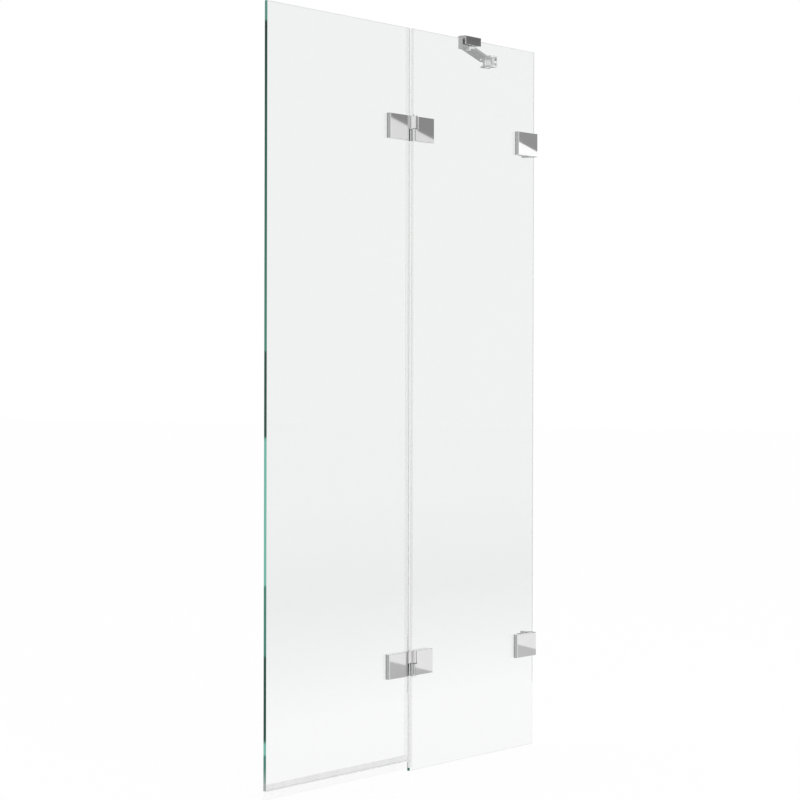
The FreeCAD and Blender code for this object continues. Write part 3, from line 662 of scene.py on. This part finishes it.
def make_floor():
    """A floor that lights the part as pale matt, and is seen as white with a faint shadow."""
    low = CAD_BOX[0].z
    side = FLOOR_HALF_WIDTH
    mesh = bpy.data.meshes.new("floor")
    corners = [(-side, -side, low), (side, -side, low), (side, side, low), (-side, side, low)]
    mesh.from_pydata(corners, [], [(0, 1, 2, 3)])
    floor = add_object("floor", mesh)
    material, tree = bare_material("pale_floor")
    matt = tree.nodes.new("ShaderNodeBsdfDiffuse")
    matt.inputs["Color"].default_value = grey(FLOOR_LIGHTING_COLOUR)
    faint = tree.nodes.new("ShaderNodeBsdfDiffuse")
    faint.inputs["Color"].default_value = grey(FLOOR_SHOWN_COLOUR)
    glow = tree.nodes.new("ShaderNodeEmission")
    glow.inputs["Strength"].default_value = FLOOR_GLOW
    white = tree.nodes.new("ShaderNodeAddShader")
    tree.links.new(faint.outputs["BSDF"], white.inputs[0])
    tree.links.new(glow.outputs["Emission"], white.inputs[1])
    factor = seen_factor(tree)
    show_mix(tree, factor, matt.outputs["BSDF"], white.outputs["Shader"], "Material Output")
    mesh.materials.append(material)


def make_lamp():
    data = bpy.data.lights.new("soft_lamp", "AREA")
    data.shape = "SQUARE"
    data.size = LAMP_SIZE
    data.energy = LAMP_POWER
    lamp = add_object("soft_lamp", data)
    aim = (CAD_BOX[0] + CAD_BOX[1]) / 2
    lamp.location = LAMP_PLACE
    lamp.rotation_mode = "QUATERNION"
    lamp.rotation_quaternion = (aim - LAMP_PLACE).to_track_quat("-Z", "Y")
    lamp.visible_camera = False
    lamp.visible_glossy = False
    lamp.visible_transmission = False


# Reflection cards: what the chrome mirrors; pixels are the photograph's, and levels run from 0 to 255
HIDDEN_FROM = ("camera", "diffuse", "shadow", "volume_scatter")
# Pane faces that a ray has crossed, at the least, when it shows a card to metal before or behind the glass
FRONT_CROSSINGS = 1
REAR_CROSSINGS = 3
HALF_CROSSING = 0.5
FRONT_CARD_X = 0.5
# Zones of flat fronts: name, node that sets the depth of the mirror, top left and bottom right pixels
# Then two pixels of the line that splits the zone, and the levels above and below the line
FRONT_ZONES = (
    ("upper_hinge", "upper_bracket_plate", (378, 92), (446, 164),
     (390.4, 116.5), (433.8, 139.2), 135, 217),
    ("upper_bracket", "upper_bracket_plate", (510, 122), (544, 168),
     (519.0, 141.5), (537.5, 151.7), 145, 253),
    ("lower_hinge", "lower_bracket_plate", (377, 630), (445, 702),
     (389.4, 661.0), (432.0, 671.0), 227, 179),
    ("lower_bracket", "lower_bracket_plate", (508, 622), (542, 668),
     (517.5, 644.0), (535.7, 648.6), 228, 187),
    ("strut_clamp", "strut_clamp", (463, 32), (484, 52),
     (463.0, 40.0), (484.0, 44.0), 103, 108),
)
# Zones of metal behind the glass: name, node whose front mirrors, top left and bottom right pixels, level
REAR_ZONES = (
    ("strut_post", "strut_clamp", (462, 38), (494, 54), 160),
    ("strut_foot", "strut_foot", (475, 52), (502, 73), 35),
)
REAR_ZONE_CARD_X = 0.49
# Narrow cards before the hinge zones, for the set-back tongues between the leaves; columns as above
TONGUE_STRIPS = (
    ("upper_hinge", "upper_bracket_plate", (410.4, 96), (413.6, 156), 190),
    ("lower_hinge", "lower_bracket_plate", (406.2, 634), (412.4, 696), 140),
)
STRIP_CARD_X = 0.498
# A dark card for the broken edges of the plates
BEVEL_CARD_SPAN = (-0.65, 0.62)
BEVEL_CARD_HEIGHTS = (0.12, 0.95)
BEVEL_CARD_LEVEL = 8
# Cards behind the glass, for sides that face the free end
SIDE_CARD_Y = 0.6
SIDE_CARD_SPANS = ((-1.62, -1.50), (-1.34, -1.055), (-1.022, -0.96), (-0.937, -0.70))
SIDE_CARD_TOP = 1.6
SIDE_CARD_LEVEL = 166
# Cards for the left side of the lower hinge's knuckle and the rounded right edge of the upper one
KNUCKLE_SIDE_SPAN = (-1.475, -1.437)
KNUCKLE_SIDE_HEIGHTS = (-0.19, -0.05)
KNUCKLE_SIDE_LEVEL = 188
KNUCKLE_EDGE_SPAN = (-0.30, 0.60)
KNUCKLE_EDGE_HEIGHTS = (1.12, 1.30)
KNUCKLE_EDGE_LEVEL = 135
# Narrow cards for the hinges' inside corners, which mirror straight back: name, offsets, heights, level
CORNER_Y = -0.007
CORNER_CARD_DISTANCE = 0.3
CORNER_CARDS = (
    ("lower", (-0.0044, 0.0008), (-0.06, 0.03), 189),
    ("upper", (0.0040, 0.0062), (1.06, 1.17), 120),
)
# A card for the web of the strut's foot, and one for undersides and tops
WEB_CARD_Y = 0.595
WEB_CARD_SPAN = (-0.865, -0.805)
WEB_CARD_HEIGHTS = (1.370, 1.3835)
WEB_CARD_LEVEL = 15
REAR_CARD_X = 0.7
REAR_CARD_SPAN = (0.2, 1.1)
REAR_CARD_HEIGHTS = (0.0, 1.4)
REAR_CARD_LEVEL = 158


def card_factor(tree, crossings):
    """1 for the rays that show a card: straight from metal, also through panes, or only through panes."""
    rays = tree.nodes.new("ShaderNodeLightPath").outputs
    from_metal = combine(tree, "SUBTRACT", 1.0, rays["Is Singular Ray"])
    if crossings is None:
        return from_metal
    is_deep = combine(tree, "GREATER_THAN", rays["Transmission Depth"], crossings - HALF_CROSSING)
    through_panes = combine(tree, "MINIMUM", rays["Is Transmission Ray"], rays["Glossy Depth"])
    through_panes = combine(tree, "MINIMUM", through_panes, is_deep)
    if crossings > FRONT_CROSSINGS:
        return through_panes
    return combine(tree, "MAXIMUM", from_metal, through_panes)


def make_card(name, corners, level, crossings=None):
    """A glowing card that shows in metal; crossings is given where it also, or only, shows through panes."""
    mesh = bpy.data.meshes.new(name)
    mesh.from_pydata(corners, [], [tuple(range(len(corners)))])
    card = add_object(name, mesh)
    for ray in HIDDEN_FROM:
        setattr(card, "visible_" + ray, False)
    card.visible_transmission = crossings is not None
    material, tree = bare_material(name)
    glow = tree.nodes.new("ShaderNodeEmission")
    glow.inputs["Strength"].default_value = linear(level) / CHROME_BASE
    gone = tree.nodes.new("ShaderNodeBsdfTransparent")
    factor = card_factor(tree, crossings)
    show_mix(tree, factor, gone.outputs["BSDF"], glow.outputs["Emission"], "Material Output")
    mesh.materials.append(material)


def mirrored(pixel, face_y, card_x):
    """Where a card wall across the X axis shows at a pixel, in a mirror at the given depth."""
    ray = pixel_ray(pixel)
    hit = CAMERA_PLACE + ray * ((face_y - CAMERA_PLACE.y) / ray.y)
    bounce = Vector((ray.x, -ray.y, ray.z))
    return hit + bounce * ((card_x - hit.x) / bounce.x)


def make_front_cards():
    """Two cards for each zone, which meet along the line that splits it."""
    for name, node, (left, top), (right, bottom), start, end, upper_level, lower_level in FRONT_ZONES:
        face_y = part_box(node)[0].y
        slope = (end[1] - start[1]) / (end[0] - start[0])
        left_split = start[1] + slope * (left - start[0])
        right_split = start[1] + slope * (right - start[0])
        upper = [(left, top), (right, top), (right, right_split), (left, left_split)]
        lower = [(left, left_split), (right, right_split), (right, bottom), (left, bottom)]
        for part, outline, level in (("upper", upper, upper_level), ("lower", lower, lower_level)):
            corners = [mirrored(pixel, face_y, FRONT_CARD_X) for pixel in outline]
            make_card(f"card_{name}_{part}", corners, level)


def pixel_box(node, top_left, bottom_right, card_x):
    """Corners of a card that fills a box of pixels in the mirror of a node's front."""
    face_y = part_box(node)[0].y
    left, top = top_left
    right, bottom = bottom_right
    outline = [(left, top), (right, top), (right, bottom), (left, bottom)]
    return [mirrored(pixel, face_y, card_x) for pixel in outline]


def make_box_cards():
    for name, node, top_left, bottom_right, level in TONGUE_STRIPS:
        corners = pixel_box(node, top_left, bottom_right, STRIP_CARD_X)
        make_card(f"card_{name}_tongue", corners, level)
    for name, node, top_left, bottom_right, level in REAR_ZONES:
        corners = pixel_box(node, top_left, bottom_right, REAR_ZONE_CARD_X)
        make_card(f"card_{name}", corners, level, REAR_CROSSINGS)


def standing(start, end, heights):
    """Corners of an upright card over a line between two points of the floor plan."""
    low, high = heights
    return [(*start, low), (*end, low), (*end, high), (*start, high)]


def along_x(span, heights, y):
    """Corners of an upright card that runs along X."""
    start, end = span
    return standing((start, y), (end, y), heights)


def along_y(span, heights, x):
    """Corners of an upright card that runs along Y."""
    start, end = span
    return standing((x, start), (x, end), heights)


def make_plain_cards():
    """The cards that sides, undersides, tops, broken edges and the outsides of the knuckles mirror."""
    side_heights = (CAD_BOX[0].z, SIDE_CARD_TOP)
    for index, span in enumerate(SIDE_CARD_SPANS):
        corners = along_x(span, side_heights, SIDE_CARD_Y)
        make_card(f"card_side_{index}", corners, SIDE_CARD_LEVEL, FRONT_CROSSINGS)
    knuckle_side = along_x(KNUCKLE_SIDE_SPAN, KNUCKLE_SIDE_HEIGHTS, SIDE_CARD_Y)
    make_card("card_knuckle_side", knuckle_side, KNUCKLE_SIDE_LEVEL, FRONT_CROSSINGS)
    knuckle_edge = along_y(KNUCKLE_EDGE_SPAN, KNUCKLE_EDGE_HEIGHTS, FRONT_CARD_X)
    make_card("card_knuckle_edge", knuckle_edge, KNUCKLE_EDGE_LEVEL)
    make_card("card_web", along_x(WEB_CARD_SPAN, WEB_CARD_HEIGHTS, WEB_CARD_Y), WEB_CARD_LEVEL)
    make_card("card_rear", along_y(REAR_CARD_SPAN, REAR_CARD_HEIGHTS, REAR_CARD_X), REAR_CARD_LEVEL)
    make_card("card_bevels", along_y(BEVEL_CARD_SPAN, BEVEL_CARD_HEIGHTS, FRONT_CARD_X), BEVEL_CARD_LEVEL)


def make_corner_cards():
    """Cards square to the view; their offsets run to the right of the line from the corner to the camera."""
    right = camera_axes()[0]
    for name, offsets, heights, level in CORNER_CARDS:
        corner = Vector((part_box("fixed_glass")[0].x, CORNER_Y, heights[0]))
        middle = corner + (CAMERA_PLACE - corner).normalized() * CORNER_CARD_DISTANCE
        near, far = (middle + right * offset for offset in offsets)
        make_card(f"card_{name}_corner", standing(near.xy, far.xy, heights), level)


def build():
    scene = bpy.context.scene
    scene.view_settings.view_transform = "Standard"
    make_camera()
    make_world()
    make_floor()
    make_lamp()
    make_front_cards()
    make_box_cards()
    make_plain_cards()
    make_corner_cards()
    dress_nodes()
    make_panes()
    make_seals()
    make_fins()


build()
